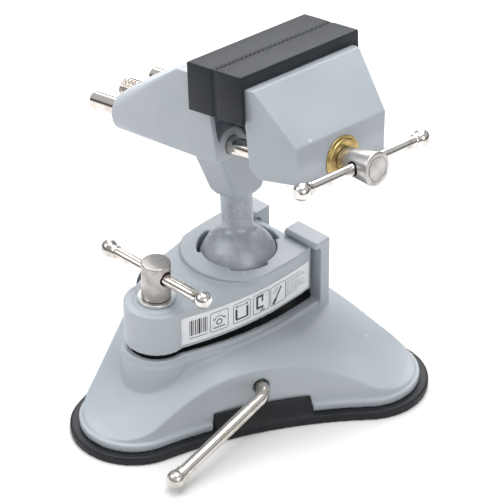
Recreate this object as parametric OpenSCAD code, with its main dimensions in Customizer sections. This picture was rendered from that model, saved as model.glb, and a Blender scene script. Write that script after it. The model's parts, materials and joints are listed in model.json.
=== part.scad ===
// Bench vise with a suction base and a ball joint under the head.
// The origin is on the ball's vertical axis, at the face that rests on the bench.
// +Z is up, the clamp screw is on the -Y side, the hooks are on the +Y side,
// and the jaws open towards +X.

/* [Jaws] */
// Width over the rubber jaw pads
grip_w = 72; // [60:1:90]
// Height of the rubber jaw pads
pad_h = 21.3; // [16:0.1:24]
// Depth of each rubber pad, from the grip to its back skirt
pad_depth = 15.4; // [13:0.1:20]
// Rubber thickness at the gripping face
pad_face = 4; // [2.5:0.1:6]
// Rubber thickness over the top of a jaw
pad_roof = 3; // [2:0.1:4]
// Rubber thickness over the ends and the back of a jaw
pad_wall = 2.5; // [2:0.1:3]
// Height of the skirt that hangs over a jaw's back
skirt_h = 5.6; // [4:0.1:8]
// Distance from the stem axis to the gripping plane
grip_x = 25; // [22:1:32]
// Height of the pads' top above the ball centre
jaw_top = 105; // [100:1:120]
// Inward draft of the fixed jaw's end faces, in degrees
fixed_draft = 7.5; // [4:0.5:8]
// Inward draft of the moving jaw's end faces, in degrees
jaw_draft = 5; // [2:0.5:6]
// Width of the moving jaw's front face
nose_w = 55; // [48:1:60]
// Height of the moving jaw's front face
nose_h = 17; // [15:1:20]
// Depth of the moving jaw behind its pad, from back to front face
nose_depth = 24.5; // [22:0.5:30]
// Wall thickness of the hollow moving jaw
jaw_wall = 4.5; // [3.5:0.1:6]
// Height of the underside of both jaws above the ball centre
jaw_floor = 58.5; // [55:0.5:60]
// Distance from the stem axis back to the rear end of the rod bosses
boss_back = 47; // [40:1:56]
// Outer diameter of the two rod bosses
rod_boss_d = 17; // [14:0.5:20]
// Outer diameter of the screw boss between them
screw_boss_d = 21; // [18:0.5:24]

/* [Guide rods and lead screw] */
// Height of the rods and the screw above the ball centre
axis_h = 64; // [62:0.5:70]
// Distance between the two guide rods
rod_gap = 36.4; // [32:0.2:42]
// Diameter of the guide rods
rod_d = 8; // [6:0.5:9]
// Radial clearance of the rods in the fixed jaw
rod_clear = 0.08; // [0.05:0.01:0.1]
// How far the rods stand out behind the fixed jaw when the jaws are shut
rod_tail = 18.5; // [8:0.5:24]
// Diameter of the lead screw
screw_d = 9.8; // [8:0.2:10.4]
// Radial clearance of the lead screw in the jaws
screw_clear = 0.1; // [0.05:0.01:0.1]
// Diameter of the lead screw's barrel head
barrel_d = 15; // [13:0.5:18]
// Length of the barrel head
barrel_len = 18; // [16:0.5:24]
// Distance from the barrel's front end to the cross hole
barrel_hole_at = 8.3; // [7:0.1:10]
// Diameter of the brass washer
brass_d = 20; // [17:0.5:24]
// Thickness of the brass washer
brass_t = 1.6; // [1:0.1:3]
// Thickness of the retaining clip
clip_t = 1.2; // [0.8:0.1:2]

/* [Tommy bars] */
// Diameter of both tommy bars
bar_d = 5; // [4:0.1:5.4]
// Diameter of the cross holes
bar_hole_d = 6.4; // [6.2:0.1:7]
// Diameter of the bars' end knobs
knob_d = 7.8; // [7.2:0.1:9]
// Distance between the knobs of the jaw handle
jaw_bar_len = 73.6; // [60:0.1:90]
// Distance between the knobs of the clamp handle
clamp_bar_len = 55.2; // [45:0.1:70]

/* [Ball joint] */
// Height of the ball centre above the bench
ball_h = 54; // [52:0.5:58]
// Diameter of the ball
ball_d = 35; // [33:0.5:36]
// Diameter of the stem
stem_d = 14; // [12:0.5:15]
// Clearance of the ball in its seat
ball_clear = 0.3; // [0.3:0.05:0.6]
// Clearance of the ball in the clamp plate, taken up when the plate is pulled down
socket_clear = 0.4; // [0.4:0.05:0.6]
// Radius of the seat ring under the ball
seat_r = 13; // [11:0.5:13]
// Height of the neck's lower rim above the ball centre
neck_low = 32; // [29:0.5:34]
// Depth of the stem's bore in the neck
stem_bore = 13; // [8:0.5:16]
// How far the head leans from upright, in degrees
lean = 11; // [0:1:20]
// Direction of the lean, in degrees from +X
lean_dir = 144; // [0:1:359]

/* [Clamp plate] */
// Height of the clamp plate's lower edge above the bench
plate_low = 40; // [39:0.5:42]
// Height of the plate's top face
plate_top = 59.5; // [58:0.5:61]
// Height of the raised ring around the ball
ring_h = 1.9; // [1:0.1:2.5]
// Radius of the raised ring
ring_r = 25.5; // [23:0.5:28]
// Half width of the plate at its widest
plate_half = 24; // [22:0.5:26]
// Distance from the ball axis to the plate's rear edge
plate_rear = 20.8; // [19:0.1:21]
// Radius of the boss around the clamp screw
clamp_boss_r = 14; // [12:0.5:16]
// Distance from the ball axis to the clamp screw
clamp_arm = 50.7; // [48:0.1:54]
// Wall thickness of the hollow plate
plate_wall = 3.5; // [3:0.1:4]
// Thickness of the plate's roof
plate_roof = 9; // [8:0.5:10]
// Diameter of the clamp screw's thread
clamp_d = 8; // [6:0.5:9]
// Diameter of the clamp screw's barrel
clamp_barrel_d = 12.7; // [11:0.1:14]
// Height of the clamp screw's barrel
clamp_barrel_h = 17.3; // [15:0.1:20]
// Height of the cross hole above the washer
clamp_hole_at = 11.2; // [8:0.1:12]
// Diameter of the clamp washer
clamp_washer_d = 16.5; // [15:0.1:19]
// Thickness of the clamp washer
clamp_washer_t = 1.5; // [1:0.1:2]
// Height of the label on the plate's side
label_h = 13.6; // [10:0.1:15]
// Length of the label
label_len = 69; // [40:1:74]

/* [Base] */
// Distance from the base's centre to the centre of each rounded leg tip
leg = 60; // [55:1:68]
// Radius of the leg tips of the rubber pad
tip_r = 27.5; // [24:0.5:30]
// Distance from the base's centre to the middle of each side of the pad
waist = 50; // [47:0.5:53]
// How far the rubber pad stands out past the casting
pad_out = 4; // [2:0.5:6]
// Thickness of the rubber pad's rim
rubber_t = 4; // [3:0.5:5]
// Height of the lip around the casting
lip_h = 3.5; // [2.5:0.5:4]
// Width of the lip around the casting
lip_w = 1.8; // [1:0.1:3]
// Wall thickness of the base casting
base_wall = 4; // [3.5:0.5:5]
// Height of the rim under the clamp plate
rim_h = 37; // [36:0.5:38]
// Height of the middle of the casting's dome
dome_h = 33; // [32:0.5:34]
// Height of the dome at the tips of the legs
tip_h = 8; // [8:0.5:10]
// Radius of the level middle of the dome
dome_flat = 20; // [10:1:25]
// How much the rim falls from the clamp screw to the hooks
rim_fall = 4; // [0:0.5:4]
// Height of the two hooks
hook_h = 64.5; // [64.5:0.5:67]
// How far the hooks' noses reach in front of the hooks
hook_nose = 3.6; // [3:0.1:5]
// Thickness of the two hooks
hook_t = 5.8; // [4:0.1:7]
// Gap between the two hooks
hook_gap = 17; // [12:0.5:22]
// Distance from the ball axis to the outer end of each hook
hook_out = 27; // [25:0.5:29]
// Gap between the plate's rear edge and the hooks
hook_clear = 2.2; // [1:0.1:3]
// Angle of the two rear legs from +X and from -X, in degrees
leg_angle = 32; // [28:1:34]
// Distance of the base's centre in front of the ball axis
centre_y = 5.5; // [2:0.5:8]

/* [Vacuum lever] */
// Diameter of the lever rod
lever_d = 5.6; // [5:0.1:6]
// Height of the lever's shaft above the bench
lever_h = 20.5; // [19:0.5:22]
// Length of the lever's arm, from the bend to the knob
arm_len = 52.5; // [45:1:70]
// Angle between the shaft and the arm, in degrees
arm_bend = 62; // [50:1:75]
// How far the resting arm hangs below level, in degrees
arm_drop = 17; // [10:1:17]
// Diameter of the cam on the shaft
cam_d = 11; // [10:0.5:12]
// Offset of the cam from the shaft
cam_throw = 1.8; // [1:0.1:2]
// Free play of the cam in the stud's eye, above and below
eye_play = 0.6; // [0.5:0.05:0.8]
// Diameter of the stud's disc on the rubber pad
disc_d = 40; // [30:1:50]

/* [Hidden] */
$fn = 64;
eps = 0.01;
big = 400;
corner_fn = 16;
// edge of the small cube at each corner of a convex solid
corner_size = 0.02;
// room between the closed grip faces
grip_gap = 0.05;

// jaws, in the head's own frame: x along the screw, y across the jaws, z up the stem
bar_half = grip_w / 2 - pad_wall;
bar_top = jaw_top - pad_roof;
shelf = jaw_top - skirt_h - 0.4;
pad_low = jaw_top - pad_h;
rear_pad_x = grip_x - pad_depth;
fixed_front = grip_x - pad_face - 4;
moving_back = grip_x + pad_depth - pad_wall;
moving_front = moving_back + nose_depth;
nose_top = jaw_floor + 1 + nose_h;
rod_back = -boss_back - rod_tail;
rod_front = moving_front - jaw_wall;
wash_x = moving_front + corner_size / 2;
barrel_x = wash_x + brass_t;
barrel_end = barrel_x + barrel_len;
jaw_bar_x = barrel_end - barrel_hole_at;
clip_x = moving_front - 10;
stem_top = neck_low + stem_bore;

// the clamp plate's height levels
ring_top = plate_top + ring_h;
plate_arc_y = 5;
clamp_seat = plate_top + 0.5;
clamp_under = clamp_seat + clamp_washer_t;
clamp_top = clamp_under + clamp_barrel_h;
clamp_bar_z = clamp_under + clamp_hole_at;
hook_y = plate_rear + hook_clear;
ball_r = ball_d / 2;
seat_low = ball_h - ball_r - 2.5;
seat_top = plate_low - 0.6;

// the base's three sides: the bearing of each side's middle, and half the angle that it spans
centre = [0, -centre_y];
tips = [-90, leg_angle, 180 - leg_angle];
sides = [
    [(leg_angle - 90) / 2, (leg_angle + 90) / 2],
    [90, 90 - leg_angle],
    [180 - (leg_angle - 90) / 2, (leg_angle + 90) / 2]
];
lever_dir = sides[0][0];
wall_n = waist - pad_out - lip_w;
tab_half = 22;
cam_z = lever_h - cam_throw;
bend_r = 7;
bend_n = wall_n + 1.5;

slot_w = cam_d + 2 * cam_throw + 1.2;
slot_h = cam_d + 2 * eye_play;
eye_w = slot_w + 7;
eye_h = slot_h + 4;

// places its children, which are in the head's frame, on the leaning ball joint
module head() {
    translate([0, 0, ball_h])
        rotate(a = lean, v = [-sin(lean_dir), cos(lean_dir), 0]) children();
}

// a cylinder of diameter d along +X from x0 to x1
module rod_x(d, x0, x1) {
    translate([x0, 0, 0]) rotate([0, 90, 0]) cylinder(d = d, h = x1 - x0);
}

// both guide rods' places
module at_rods() {
    for (side = [-1, 1]) translate([0, side * rod_gap / 2, axis_h]) children();
}

// the convex solid through corners [x, y, z] and their mirror images at -y
module through(corners) {
    hull() for (c = corners) for (side = [-1, 1])
        translate([c[0], side * c[1], c[2]]) cube(corner_size, center = true);
}

// half width of a jaw at a height, narrower towards its floor
function jaw_half(z, draft) = bar_half - (shelf - z) * tan(draft);

// ---- base ----

// distance from the base's centre to the centre of the arc that hollows a side
function arc_n(r, n, half) = (leg * leg - (n - r) * (n - r)) / (2 * leg * cos(half) - 2 * (n - r));

// a point of the base's plan: d along the bearing, and t to its left
function plan(bearing, d, t) =
    [d * cos(bearing) - t * sin(bearing), d * sin(bearing) + t * cos(bearing)];

// where the arc of a side touches the tip circle, on the side given by way = -1 or 1
function touch(s, r, n, way) =
    let (c = arc_n(r, n, s[1]), x = leg * cos(s[1]), y = leg * sin(s[1]),
         k = r / (c - n + r))
    plan(s[0], x + k * (c - x), way * (y - k * y));

// the three-legged outline with hollow sides: r is the tips' radius, n the half width at the waist
module outline(r, n) {
    translate(centre) difference() {
        union() {
            for (a = tips) translate(plan(a, leg, 0)) circle(r = r);
            polygon([for (s = sides) for (way = [-1, 1]) touch(s, r, n, way)]);
        }
        for (s = sides) translate(plan(s[0], arc_n(r, n, s[1]), 0))
            circle(r = arc_n(r, n, s[1]) - n, $fn = 180);
    }
}

// the outline of the clamp plate, and of the rim and the column below it
module plate_outline(half, rear, boss_r) {
    reach = clamp_arm + plate_arc_y - 2;
    r = (reach * reach + (half - boss_r) * (half - boss_r)) / (2 * (half - boss_r));
    translate([0, -clamp_arm]) circle(r = boss_r);
    intersection() {
        translate([half - r, plate_arc_y]) circle(r = r, $fn = 180);
        translate([r - half, plate_arc_y]) circle(r = r, $fn = 180);
        translate([-big / 2, -clamp_arm]) square([big, clamp_arm + rear]);
    }
}

// height of the casting's domed top at a distance from the base's centre: level in the middle,
// then down in one long wave to the height of the tips
function dome_z(r) =
    let (way = pow(max(0, (r - dome_flat) / (leg + tip_r - 2.5 - dome_flat)), 1.4))
    tip_h + (dome_h - tip_h) * (1 + cos(180 * min(1, way))) / 2;

module dome(drop) {
    reach = leg + tip_r;
    step = (reach - dome_flat) / 20;
    translate([centre[0], centre[1], -drop]) rotate_extrude($fn = 120)
        polygon(concat([[0, -20], [0, dome_h]],
            [for (i = [0:20]) [dome_flat + i * step, dome_z(dome_flat + i * step)]], [[reach, -20]]));
}

// places its children with +X along the lever's shaft and its origin on the base's centre line
module at_lever() {
    translate([centre[0], centre[1], lever_h]) rotate([0, 0, lever_dir]) children();
}

// the two hooks: each one's nose reaches over the plate's rear edge
module hooks() {
    nose_z = ring_top + 0.6;
    slope = hook_clear - 0.4;
    hook_foot = rim_h - 15;
    for (side = [-1, 1])
        translate([side > 0 ? hook_gap / 2 : -hook_out, hook_y, 0]) rotate([90, 0, 90])
            linear_extrude(hook_out - hook_gap / 2)
            polygon([[0, hook_foot], [hook_t, hook_foot], [hook_t, hook_h], [1 - hook_nose, hook_h],
                [-hook_nose, hook_h - 1], [-hook_nose, nose_z], [-slope, nose_z], [0, nose_z - slope]]);
}

module base_casting() color("#aab4bc") {
    rim_half = plate_half + 0.6;
    rim_rear = hook_y + hook_t;
    rim_boss = clamp_boss_r + 0.4;
    column_boss = rim_boss + 1;
    column_top = rim_h - 3;
    body_r = tip_r - pad_out - lip_w;
    floor_z = rim_h - 7;
    column_z = floor_z - 12;
    rim_run = clamp_arm + rim_rear;
    socket_r = seat_r + 3;
    difference() {
        union() {
            // the lip, open where the pad's tab comes up
            difference() {
                translate([0, 0, rubber_t]) linear_extrude(lip_h) outline(tip_r - pad_out, waist - pad_out);
                linear_extrude(big) outline(body_r - base_wall, wall_n - base_wall);
                translate([centre[0], centre[1], 0]) rotate([0, 0, lever_dir])
                    translate([wall_n, -tab_half - 0.4, 0]) cube([20, 2 * tab_half + 0.8, 40]);
            }
            // the hollow legs
            difference() {
                intersection() {
                    translate([0, 0, rubber_t]) linear_extrude(rim_h) outline(body_r, wall_n);
                    dome(0);
                }
                intersection() {
                    translate([0, 0, rubber_t - 1]) linear_extrude(rim_h)
                        outline(body_r - base_wall, wall_n - base_wall);
                    dome(base_wall);
                }
            }
            // the column, as wide as the hooks, and the rim on it, which falls towards the hooks
            difference() {
                union() {
                    translate([0, 0, column_z]) linear_extrude(column_top - column_z)
                        plate_outline(hook_out, rim_rear, column_boss);
                    translate([0, 0, floor_z]) linear_extrude(rim_h - floor_z)
                        plate_outline(rim_half, rim_rear, rim_boss);
                }
                translate([0, 0, floor_z]) linear_extrude(rim_h)
                    plate_outline(rim_half - 2.6, hook_y, rim_boss - 2.6);
                linear_extrude(floor_z - base_wall)
                    plate_outline(hook_out - base_wall, hook_y, column_boss - base_wall);
                translate([-big / 2, -clamp_arm, rim_h]) rotate([-atan(rim_fall / rim_run), 0, 0])
                    cube([big, big, big]);
            }
            translate([0, -clamp_arm, rim_h - 20]) cylinder(d = clamp_d + 9, h = 20);
            translate([0, 0, floor_z - eps]) cylinder(r = socket_r, h = seat_top - floor_z);
            hooks();
            // the shaft's bearings: one on the side wall, one near the middle
            at_lever() rod_x(lever_d + 8, wall_n - base_wall - 6, wall_n - 1);
            at_lever() translate([7, -7, -7]) cube([6, 14, floor_z - lever_h + 5]);
        }
        // the seat's recess, and room for the stud's eye below it
        translate([0, 0, seat_low]) cylinder(r = seat_r + ball_clear, h = 20);
        at_lever() translate([-3.5, -eye_w / 2 - 1, -7]) cube([7, eye_w + 2, cam_throw + eye_h / 2 + 7.6]);
        // the thread of the clamp screw
        translate([0, -clamp_arm, rim_h - 21]) cylinder(d = clamp_d + 0.2, h = 40);
        // the shaft's bore
        at_lever() rod_x(lever_d + 0.2, 0, wall_n + 20);
        at_lever() rod_x(lever_d + 1.6, wall_n - 3, wall_n + 20);
    }
}

module suction_pad() color("#24272b") {
    linear_extrude(rubber_t) outline(tip_r, waist);
    // the tab that breaks the vacuum, against the side wall
    difference() {
        translate([centre[0], centre[1], 0]) rotate([0, 0, lever_dir])
            translate([wall_n, tab_half, 0]) rotate([90, 0, 0]) linear_extrude(2 * tab_half)
            polygon([[0, 1], [waist - wall_n - 1, 1], [waist - wall_n - 1, rubber_t],
                [1.9, 3 * rubber_t], [0, 3 * rubber_t]]);
        translate([0, 0, rubber_t]) linear_extrude(big)
            outline(tip_r - pad_out - lip_w + 0.2, wall_n + 0.2);
    }
}

// the stud that the cam lifts: a disc on the rubber, a neck and an eye around the cam
module pull_stud() color("#8d9196") {
    translate([centre[0], centre[1], 0]) rotate([0, 0, lever_dir]) difference() {
        union() {
            translate([0, 0, rubber_t]) cylinder(d = disc_d, h = 1.5);
            translate([0, 0, rubber_t + 1]) cylinder(d = 9, h = cam_z - eye_h / 2 - rubber_t);
            translate([-2.5, -eye_w / 2, cam_z - eye_h / 2]) cube([5, eye_w, eye_h]);
        }
        translate([-5, -slot_w / 2, cam_z - slot_h / 2]) cube([10, slot_w, slot_h]);
    }
}

module cam() color("#9a9ea3") at_lever() difference() {
    translate([0, 0, -cam_throw]) rod_x(cam_d, -3.5, 3.5);
    rod_x(lever_d, -5, 5);
    cylinder(d = 2, h = 40, center = true);
}

// the cross pin that holds the cam on the shaft
module cam_pin() color("#c9ccd0") at_lever()
    translate([0, 0, -cam_throw - cam_d / 2 + 0.6]) cylinder(d = 2, h = cam_d - 1.2);

// turns the lever's arm down from level, and off the shaft's line
module at_arm() {
    at_lever() rotate([arm_drop, 0, 0]) translate([bend_n, 0, 0]) children();
}

module vacuum_lever() color("#cfcac2") difference() {
    union() {
        at_lever() rod_x(lever_d, -5, bend_n + 0.5);
        at_arm() translate([0, -bend_r, 0]) rotate([0, 0, 90 - arm_bend])
            rotate_extrude(angle = arm_bend) translate([bend_r, 0]) circle(d = lever_d + 0.3);
        at_arm() arm_end() rod_x(lever_d, -0.5, arm_len - 1.5);
    }
    at_lever() cylinder(d = 2, h = 40, center = true);
}

// the start of the straight arm, at the end of the bend
module arm_end() {
    translate([bend_r * sin(arm_bend), -bend_r + bend_r * cos(arm_bend), 0])
        rotate([0, 0, -arm_bend]) children();
}

module lever_knob() color("#cfcac2") at_arm() arm_end()
    translate([arm_len, 0, 0]) rotate([0, 90, 0]) knob(lever_d, knob_d + 0.4);

// ---- ball joint and clamp ----

module ball_seat() color("#c7c4bb") difference() {
    translate([0, 0, seat_low]) cylinder(r = seat_r, h = seat_top - seat_low);
    translate([0, 0, ball_h]) sphere(r = ball_r + ball_clear);
    cylinder(r = seat_r - 8, h = big);
}

module clamp_plate() color("#aeb7bf") {
    lobe = ball_r + 0.8;
    difference() {
        union() {
            translate([0, 0, plate_low]) linear_extrude(plate_top - plate_low)
                plate_outline(plate_half, plate_rear, clamp_boss_r);
            // the raised level, round in front of the ball and straight behind it
            translate([0, 0, plate_low]) linear_extrude(ring_top - plate_low) intersection() {
                union() {
                    circle(r = ring_r);
                    translate([-big / 2, 0]) square([big, big]);
                }
                plate_outline(plate_half, plate_rear, clamp_boss_r);
            }
            translate([0, -clamp_arm, plate_low]) cylinder(r = 10, h = clamp_seat - plate_low);
        }
        // the hollow inside, around the screw's sleeve
        difference() {
            linear_extrude(plate_top - plate_roof)
                plate_outline(plate_half - plate_wall, plate_rear - plate_wall, clamp_boss_r - plate_wall);
            translate([0, -clamp_arm, 0]) cylinder(d = clamp_d + 6, h = big);
        }
        translate([0, -clamp_arm, 0]) cylinder(d = clamp_d + 1, h = big);
        // the socket, with three relieved stretches between its lips
        translate([0, 0, ball_h]) sphere(r = ball_r + socket_clear);
        cylinder(r = ball_r + 1, h = ball_h);
        for (a = [-30, 90, 210]) intersection() {
            cylinder(r = lobe, h = big);
            rotate([0, 0, a]) linear_extrude(big)
                polygon([[0, 0], [lobe * 2, -lobe * 2 * tan(28)], [lobe * 2, lobe * 2 * tan(28)]]);
        }
    }
}

// a thin sheet that follows the plate's side wall
module label() color("#eef0f2") {
    mid_z = (plate_low + plate_top) / 2 - 1.2;
    intersection() {
        translate([0, 0, mid_z - label_h / 2]) linear_extrude(label_h) difference() {
            plate_outline(plate_half + 0.25, plate_rear, clamp_boss_r + 0.25);
            plate_outline(plate_half, plate_rear, clamp_boss_r);
        }
        translate([5, plate_rear - 2 - label_len, 0]) cube([big, label_len, big]);
    }
}

module clamp_washer() color("#c9cfce") difference() {
    translate([0, -clamp_arm, clamp_seat]) cylinder(d = clamp_washer_d, h = clamp_washer_t);
    translate([0, -clamp_arm, 0]) cylinder(d = clamp_d + 0.4, h = big);
}

module clamp_screw() color("#a59e9b") difference() {
    translate([0, -clamp_arm, 0]) {
        translate([0, 0, clamp_under]) cylinder(d = clamp_barrel_d, h = clamp_barrel_h - 0.8);
        translate([0, 0, clamp_top - 0.8])
            cylinder(d1 = clamp_barrel_d, d2 = clamp_barrel_d - 1.6, h = 0.8);
        translate([0, 0, rim_h - 17]) cylinder(d = clamp_d, h = clamp_under - rim_h + 17 + eps);
    }
    translate([0, -clamp_arm, clamp_bar_z]) cross_hole(clamp_barrel_d);
}

// a hole along X through a barrel of diameter d, opened out at both ends
module cross_hole(d) {
    rod_x(bar_hole_d, -d, d);
    for (turn = [0, 180]) rotate([0, 0, turn]) translate([d / 2 - 1, 0, 0]) rotate([0, 90, 0])
        cylinder(d1 = bar_hole_d, d2 = bar_hole_d + 2, h = 1.2);
}

// a tommy bar along X, with spigots for its knobs
module bar(length) {
    rod_x(bar_d, -length / 2 + 1.5, length / 2 - 1.5);
}

// a knob whose bar comes in along +Z: a ball with a short neck and a flat end
module knob(bar_size, ball_size) {
    r = ball_size / 2;
    neck = bar_size / 2 + 0.5;
    low = -acos(neck / r);
    high = asin((r - 0.7) / r);
    rotate_extrude() polygon(concat(
        [[bar_size / 2, -r - 0.6], [neck, -r - 0.6]],
        [for (i = [0:12]) let (a = low + (high - low) * i / 12) [r * cos(a), r * sin(a)]],
        [[0, r - 0.7], [0, -1.5], [bar_size / 2, -1.5]]
    ));
}

module knobs(length) {
    for (turn = [0, 180]) rotate([0, 0, turn])
        translate([length / 2, 0, 0]) rotate([0, 90, 0]) knob(bar_d, knob_d);
}

module clamp_bar() color("#d2cdc9") translate([0, -clamp_arm, clamp_bar_z]) bar(clamp_bar_len);

module clamp_bar_knobs() color("#d9d6d3") translate([0, -clamp_arm, clamp_bar_z]) knobs(clamp_bar_len);

// ---- head ----

module ball_stem() color("#a3a9af") head() {
    sphere(d = ball_d);
    translate([0, 0, ball_r - 4]) cylinder(d = stem_d, h = stem_top - ball_r + 4 - 0.4);
}

// a flat rounded rectangle of x by y at height z, for the neck's hull
module neck_ring(x, y, z) {
    for (sx = [-1, 1]) for (sy = [-1, 1])
        translate([sx * (x / 2 - 3), sy * (y / 2 - 3), z]) cylinder(r = 3, h = eps, $fn = corner_fn);
}

module fixed_jaw() color("#a7b1b9") head() {
    rib = 3;
    difference() {
        union() {
            // the wedge from the rod bosses up to the jaw
            hull() {
                for (side = [-1, 1]) translate([0, side * rod_gap / 2, axis_h])
                    rod_x(rod_boss_d, -boss_back, -boss_back + 1, $fn = 24);
                translate([0, 0, axis_h]) rod_x(screw_boss_d, -boss_back, -boss_back + 1, $fn = 24);
                for (side = [-1, 1]) for (c = [[1, shelf], [-18, 69], [-10, jaw_floor + 1],
                        [fixed_front, jaw_floor], [fixed_front, shelf]])
                    translate([c[0], side * jaw_half(c[1], fixed_draft), c[1]]) cube(eps, center = true);
            }
            // the bar inside the rubber pad
            translate([rear_pad_x + pad_wall, -bar_half, pad_low])
                cube([pad_depth - pad_wall - pad_face, 2 * bar_half, bar_top - pad_low]);
            // the neck
            hull() {
                neck_ring(14, 13.6, neck_low);
                neck_ring(17.5, 17.5, neck_low + 2.5);
                neck_ring(21, 37, jaw_floor);
            }
        }
        // the open recess below the pad, around the rod bosses
        difference() {
            through([[fixed_front + 1, jaw_half(pad_low, fixed_draft) - rib, pad_low - 2],
                [fixed_front - 9, jaw_half(pad_low, fixed_draft) - rib, pad_low - 2],
                [fixed_front - 9, jaw_half(axis_h, fixed_draft) - rib, axis_h + 2],
                [fixed_front + 1, jaw_half(axis_h, fixed_draft) - rib, axis_h + 2]]);
            at_rods() rod_x(rod_d + 8, 0, fixed_front);
            translate([0, 0, axis_h]) rod_x(screw_d + 8, 0, fixed_front);
        }
        at_rods() rod_x(rod_d + 2 * rod_clear, -big / 2, big / 2);
        translate([0, 0, axis_h]) rod_x(screw_d + 2 * screw_clear, -big / 2, big / 2);
        translate([0, 0, neck_low - 1]) cylinder(d = stem_d + 0.2, h = stem_bore + 1);
    }
}

// a rubber pad in a frame where x runs from the grip face, at 0, to its back
module jaw_pad() {
    difference() {
        translate([0, -grip_w / 2, pad_low]) cube([pad_depth, grip_w, pad_h]);
        translate([pad_face, -bar_half, pad_low - 1])
            cube([pad_depth - pad_wall - pad_face, 2 * bar_half, bar_top - pad_low + 1]);
        translate([pad_face + 1, -bar_half, pad_low - 1])
            cube([pad_depth, 2 * bar_half, shelf + 0.4 - pad_low + 1]);
    }
}

module rear_jaw_pad() color("#2f3439") head() translate([grip_x, 0, 0]) mirror([1, 0, 0]) jaw_pad();

module front_jaw_pad() color("#2f3439") head() translate([grip_x + grip_gap, 0, 0]) jaw_pad();

module moving_jaw() color("#adb7bf") head() {
    inside = moving_front - jaw_wall - 3;
    difference() {
        union() {
            through([[moving_back, jaw_half(shelf, jaw_draft), shelf],
                [moving_back + 6, jaw_half(shelf, jaw_draft) - 1, shelf],
                [moving_front, nose_w / 2, nose_top],
                [moving_front, nose_w / 2 - 1.4, jaw_floor + 1],
                [moving_back + 4, jaw_half(jaw_floor, jaw_draft), jaw_floor],
                [moving_back, jaw_half(jaw_floor + 5, jaw_draft), jaw_floor + 5]]);
            translate([grip_x + grip_gap + pad_face, -bar_half, pad_low])
                cube([pad_depth - pad_wall - pad_face, 2 * bar_half, bar_top - pad_low]);
        }
        // the hollow at the back, around the bosses of the rods and of the screw
        difference() {
            through([[moving_back - eps, jaw_half(pad_low, jaw_draft) - jaw_wall, pad_low],
                [moving_back + 7, jaw_half(pad_low, jaw_draft) - jaw_wall - 2, pad_low],
                [inside, nose_w / 2 - jaw_wall - 1, nose_top - jaw_wall],
                [inside, nose_w / 2 - jaw_wall - 2, jaw_floor + jaw_wall],
                [moving_back - eps, jaw_half(jaw_floor + 9, jaw_draft) - jaw_wall, jaw_floor + 7]]);
            at_rods() rod_x(rod_d + 8, moving_back + 2, big);
            translate([0, 0, axis_h]) rod_x(screw_d + 10, clip_x + clip_t + 1, big);
        }
        at_rods() rod_x(rod_d, 0, rod_front);
        translate([0, 0, axis_h]) rod_x(screw_d + 2 * screw_clear, 0, big);
        translate([0, 0, axis_h]) rod_x(screw_d + 8, 0, clip_x + clip_t + 0.5);
    }
}

module guide_rods() color("#d8d2cc") head() at_rods() {
    rod_x(rod_d, rod_back + 0.8, rod_front);
    translate([rod_back, 0, 0]) rotate([0, 90, 0])
        cylinder(d1 = rod_d - 1.6, d2 = rod_d, h = 0.8 + eps);
}

module lead_screw() color("#c2beb9") head() difference() {
    translate([0, 0, axis_h]) difference() {
        union() {
            rod_x(screw_d, rod_back, barrel_x + eps);
            rod_x(barrel_d, barrel_x, barrel_end - 1.5);
            translate([barrel_end - 1.5, 0, 0]) rotate([0, 90, 0])
                cylinder(d1 = barrel_d, d2 = barrel_d - 3, h = 1.5);
        }
        // the groove of the retaining clip
        difference() {
            rod_x(screw_d + 2, clip_x, clip_x + clip_t);
            rod_x(screw_d - 2, clip_x - 1, clip_x + clip_t + 1);
        }
    }
    translate([jaw_bar_x, 0, axis_h]) rotate([0, 0, 90]) cross_hole(barrel_d);
}

// an open ring in the screw's groove, behind the moving jaw's front wall
module retaining_clip() color("#b9bcc0") head() translate([0, 0, axis_h]) difference() {
    rod_x(screw_d + 5, clip_x, clip_x + clip_t);
    rod_x(screw_d - 2, clip_x - 1, clip_x + clip_t + 1);
    translate([clip_x - 1, -screw_d / 2 + 1, -screw_d]) cube([clip_t + 2, screw_d - 2, screw_d]);
}

module brass_washer() color("#b8913c") head() translate([0, 0, axis_h]) difference() {
    rod_x(brass_d, wash_x, wash_x + brass_t);
    rod_x(screw_d + 0.4, wash_x - 1, wash_x + brass_t + 1);
}

module jaw_bar() color("#d2cdc9") head()
    translate([jaw_bar_x, 0, axis_h]) rotate([0, 0, 90]) bar(jaw_bar_len);

module jaw_bar_knobs() color("#d9d6d3") head()
    translate([jaw_bar_x, 0, axis_h]) rotate([0, 0, 90]) knobs(jaw_bar_len);

base_casting();
suction_pad();
pull_stud();
cam();
cam_pin();
vacuum_lever();
lever_knob();
ball_seat();
clamp_plate();
label();
clamp_washer();
clamp_screw();
clamp_bar();
clamp_bar_knobs();
ball_stem();
fixed_jaw();
rear_jaw_pad();
moving_jaw();
front_jaw_pad();
guide_rods();
lead_screw();
retaining_clip();
brass_washer();
jaw_bar();
jaw_bar_knobs();
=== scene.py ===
"""Looks of the bench vise: soft-edged castings, rubber pads, plated steel, and a plain studio."""

import json
import math

import bmesh
import bpy
import numpy as np
from mathutils import Matrix, Vector


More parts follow.
